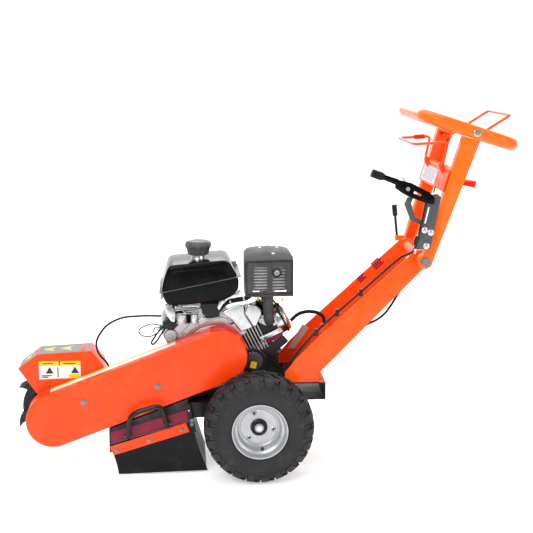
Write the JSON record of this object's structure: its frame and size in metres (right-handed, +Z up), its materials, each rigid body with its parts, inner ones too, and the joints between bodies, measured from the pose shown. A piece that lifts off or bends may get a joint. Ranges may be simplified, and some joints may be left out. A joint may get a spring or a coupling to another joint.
{
  "type": "stump grinder",
  "caption": "Walk-behind stump grinder: toothed cutter wheel under a hood, belt guard, engine, two knobbly tyres, folding loop handle with levers and bails.",
  "frame": {"origin": "on the ground, below the middle of the machine's bounding box", "axes": "+X from the cutter towards the handle, +Y across the machine away from the belt guard, +Z up"},
  "size_m": [1.8428, 0.685, 1.3473],
  "materials": {
    "base_frame": "satin black paint",
    "axle": "turned steel",
    "boom_plates": "satin black paint",
    "cutter_bearings": "cast, painted dark",
    "hood": "gloss orange powder coat",
    "belt_guard": "gloss orange powder coat",
    "guard_backplate": "gloss orange powder coat",
    "drive_belts": "matt belt rubber",
    "deflector_box": "satin black paint",
    "flap_strip": "gloss orange powder coat",
    "side_flap": "smooth sheet rubber",
    "rear_flap": "smooth sheet rubber",
    "chassis_fasteners": "zinc-plated",
    "carry_handle": "satin grip",
    "arm_channel": "gloss orange powder coat",
    "pivot_bolts": "plain steel",
    "crankcase": "cast aluminium",
    "crankcase_cover": "cast aluminium",
    "cylinder_barrel": "black finned casting",
    "cylinder_head": "black finned casting",
    "valve_cover": "cast aluminium",
    "spark_plug": "moulded boot",
    "blower_housing": "black paint",
    "recoil_cover": "black",
    "fuel_tank": "gloss black paint",
    "carburettor": "cast",
    "air_cleaner": "moulded black",
    "muffler": "heat-proof dark paint",
    "muffler_guard": "heat-proof black paint",
    "oil_filler_cap": "moulded yellow",
    "throttle_cable": "cable sheath",
    "harness_cable": "ribbed conduit",
    "clutch_cable": "cable sheath",
    "lower_cable": "cable sheath",
    "stop_wire": "wire insulation",
    "crankshaft": "turned steel",
    "drive_pulley": "turned iron",
    "fuel_cap": "black",
    "recoil_grip": "black",
    "throttle_lever": "zinc-plated",
    "engine_switch": "red",
    "idler_arm": "zinc-plated",
    "idler_roller": "turned",
    "cutter_shaft": "turned steel",
    "cutter_disc": "black",
    "cutter_teeth": "black forged steel",
    "driven_pulley": "turned iron",
    "tyre_left": "knobbly tread",
    "tyre_right": "knobbly tread",
    "wheel_left": "silver-grey paint, black hub",
    "wheel_right": "silver-grey paint, black hub",
    "handle_frame": "gloss orange powder coat",
    "cross_panel": "gloss orange powder coat",
    "lever_plate": "satin black paint",
    "handle_bolts": "zinc-plated",
    "clutch_lever": "satin black paint",
    "lever_grip": "moulded grip",
    "far_lever": "satin black, rubber grip",
    "front_bail": "gloss orange powder coat",
    "rear_bail": "gloss orange powder coat"
  },
  "bodies": {
    "chassis": {"base_frame": "base_frame", "axle": "axle", "boom_plates": "boom_plates", "cutter_bearings": "cutter_bearings", "hood": "hood", "belt_guard": "belt_guard", "guard_backplate": "guard_backplate", "drive_belts": "drive_belts", "deflector_box": "deflector_box", "flap_strip": "flap_strip", "side_flap": "side_flap", "rear_flap": "rear_flap", "chassis_fasteners": "chassis_fasteners", "carry_handle": "carry_handle", "arm_channel": "arm_channel", "pivot_bolts": "pivot_bolts", "crankcase": "crankcase", "crankcase_cover": "crankcase_cover", "cylinder_barrel": "cylinder_barrel", "cylinder_head": "cylinder_head", "valve_cover": "valve_cover", "spark_plug": "spark_plug", "blower_housing": "blower_housing", "recoil_cover": "recoil_cover", "fuel_tank": "fuel_tank", "carburettor": "carburettor", "air_cleaner": "air_cleaner", "muffler": "muffler", "muffler_guard": "muffler_guard", "oil_filler_cap": "oil_filler_cap", "throttle_cable": "throttle_cable", "harness_cable": "harness_cable", "clutch_cable": "clutch_cable", "lower_cable": "lower_cable", "stop_wire": "stop_wire"},
    "wheel_assembly_left": {"tyre_left": "tyre_left", "wheel_left": "wheel_left"},
    "wheel_assembly_right": {"tyre_right": "tyre_right", "wheel_right": "wheel_right"},
    "cutter": {"cutter_shaft": "cutter_shaft", "cutter_disc": "cutter_disc", "cutter_teeth": "cutter_teeth", "driven_pulley": "driven_pulley"},
    "crank": {"crankshaft": "crankshaft", "drive_pulley": "drive_pulley"},
    "idler": {"idler_arm": "idler_arm"},
    "idler_wheel": {"idler_roller": "idler_roller"},
    "cap": {"fuel_cap": "fuel_cap"},
    "starter_pull": {"recoil_grip": "recoil_grip"},
    "throttle": {"throttle_lever": "throttle_lever"},
    "switch": {"engine_switch": "engine_switch"},
    "handle": {"handle_frame": "handle_frame", "cross_panel": "cross_panel", "lever_plate": "lever_plate", "handle_bolts": "handle_bolts"},
    "clutch": {"clutch_lever": "clutch_lever", "lever_grip": "lever_grip"},
    "throttle_control": {"far_lever": "far_lever"},
    "bail_front": {"front_bail": "front_bail"},
    "bail_rear": {"rear_bail": "rear_bail"}
  },
  "joints": [
    {"name": "left_wheel_spin", "type": "hinge", "parent": "chassis", "child": "wheel_assembly_left", "pos_m": [-0.02507, -0.26, 0.203], "axis": [0, 1, 0], "continuous": true},
    {"name": "right_wheel_spin", "type": "hinge", "parent": "chassis", "child": "wheel_assembly_right", "pos_m": [-0.02507, 0.26, 0.203], "axis": [0, 1, 0], "continuous": true},
    {"name": "cutter_spin", "type": "hinge", "parent": "chassis", "child": "cutter", "pos_m": [-0.78507, 0, 0.222], "axis": [0, 1, 0], "continuous": true},
    {"name": "crank_spin", "type": "hinge", "parent": "chassis", "child": "crank", "pos_m": [-0.18207, 0, 0.425], "axis": [0, 1, 0], "continuous": true},
    {"name": "handle_fold", "type": "hinge", "parent": "chassis", "child": "handle", "pos_m": [0.58743, 0, 0.795], "axis": [0, 1, 0], "range_deg": [-60, 0], "deforming": ["clutch_cable"]},
    {"name": "clutch_lever_swing", "type": "hinge", "parent": "handle", "child": "clutch", "pos_m": [0.59543, -0.237, 1.03], "axis": [0, 1, 0], "range_deg": [-50, 0]},
    {"name": "idler_swing", "type": "hinge", "parent": "chassis", "child": "idler", "pos_m": [-0.26507, -0.094, 0.33], "axis": [0, 1, 0], "range_deg": [0, 2.5]},
    {"name": "idler_wheel_spin", "type": "hinge", "parent": "idler", "child": "idler_wheel", "pos_m": [-0.35507, -0.118, 0.286], "axis": [0, 1, 0], "continuous": true},
    {"name": "throttle_control_swing", "type": "hinge", "parent": "handle", "child": "throttle_control", "pos_m": [0.55743, 0.206, 0.821], "axis": [0, 1, 0], "range_deg": [-16, 10]},
    {"name": "throttle_lever_swing", "type": "hinge", "parent": "chassis", "child": "throttle", "pos_m": [-0.32507, -0.017, 0.56], "axis": [0, 1, 0], "range_deg": [-8, 5]},
    {"name": "front_bail_squeeze", "type": "hinge", "parent": "handle", "child": "bail_front", "pos_m": [0.65243, 0, 1.14], "axis": [0, 1, 0], "range_deg": [0, 14]},
    {"name": "rear_bail_squeeze", "type": "hinge", "parent": "handle", "child": "bail_rear", "pos_m": [0.74143, 0, 1.222], "axis": [0, 1, 0], "range_deg": [0, 16], "stiffness_Nm_per_rad": 3, "springref_deg": -28.65},
    {"name": "fuel_cap_turn", "type": "hinge", "parent": "chassis", "child": "cap", "pos_m": [-0.23607, -0.02, 0.83], "axis": [0, 0, 1], "continuous": true},
    {"name": "starter_pull_slide", "type": "slide", "parent": "chassis", "child": "starter_pull", "axis": [0, 1, 0], "range_m": [0, 0.35], "stiffness_N_per_m": 20, "springref_m": -0.3},
    {"name": "engine_switch_rock", "type": "hinge", "parent": "chassis", "child": "switch", "pos_m": [-0.27307, 0.138, 0.509], "axis": [1, 0, 0], "range_deg": [-6, 6]}
  ],
  "couplings": [
    {"joint": "crank_spin", "follows": "cutter_spin", "ratio": 1.4},
    {"joint": "idler_swing", "follows": "clutch_lever_swing", "ratio": -0.05},
    {"joint": "throttle_lever_swing", "follows": "throttle_control_swing", "ratio": 0.5}
  ]
}
